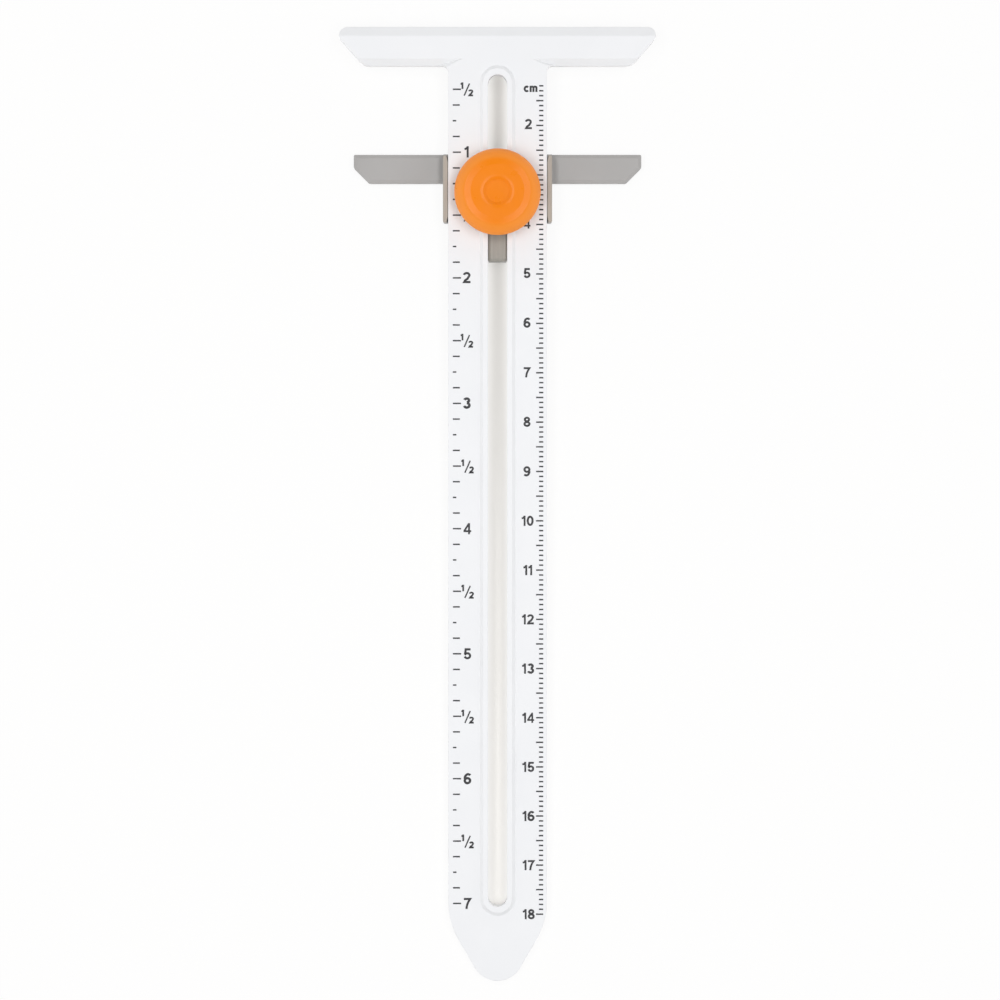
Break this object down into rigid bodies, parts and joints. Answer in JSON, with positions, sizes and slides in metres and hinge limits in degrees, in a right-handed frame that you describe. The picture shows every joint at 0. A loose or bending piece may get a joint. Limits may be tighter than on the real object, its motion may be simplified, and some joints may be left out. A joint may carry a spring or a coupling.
{
  "type": "sewing gauge",
  "caption": "T-shaped plastic sewing gauge with inch and centimetre scales, a slotted blade, and a winged slider locked by a round screw knob.",
  "frame": {"origin": "middle of the head's straight zero edge, halfway through the ruler's thickness", "axes": "+X across the ruler, +Y from the tip to the zero edge so that a reading lies at minus Y, +Z out of the printed face"},
  "size_m": [0.064, 0.1936, 0.0112],
  "materials": {
    "white_plastic": "fine satin moulding, slightly cool white",
    "print": "flat black pad-printed ink",
    "grey_plastic": "fine satin moulding, warm grey",
    "screw_steel": "zinc-plated steel",
    "natural_nylon": "undyed nylon",
    "orange_plastic": "semi-gloss orange moulding",
    "insert_brass": "plain turned brass"
  },
  "bodies": {
    "ruler": {"ruler": "white_plastic", "inch_marks": "print", "centimetre_marks": "print"},
    "slider": {"slider": "grey_plastic", "lock_screw": "screw_steel"},
    "washer": {"pressure_washer": "natural_nylon"},
    "knob": {"knob": "orange_plastic", "knob_insert": "insert_brass"}
  },
  "joints": [
    {"name": "slider_travel", "type": "slide", "parent": "ruler", "child": "slider", "axis": [0, 1, 0], "range_m": [-0.1293, 0.0176]},
    {"name": "clamp_lift", "type": "slide", "parent": "slider", "child": "washer", "axis": [0, 0, 1], "range_m": [0, 0.0005]},
    {"name": "knob_turn", "type": "hinge", "parent": "washer", "child": "knob", "pos_m": [0, -0.0337, 0.005], "axis": [0, 0, 1], "range_deg": [0, 360]}
  ],
  "couplings": [
    {"joint": "knob_turn", "follows": "clamp_lift", "rad_per_m": 12566}
  ]
}
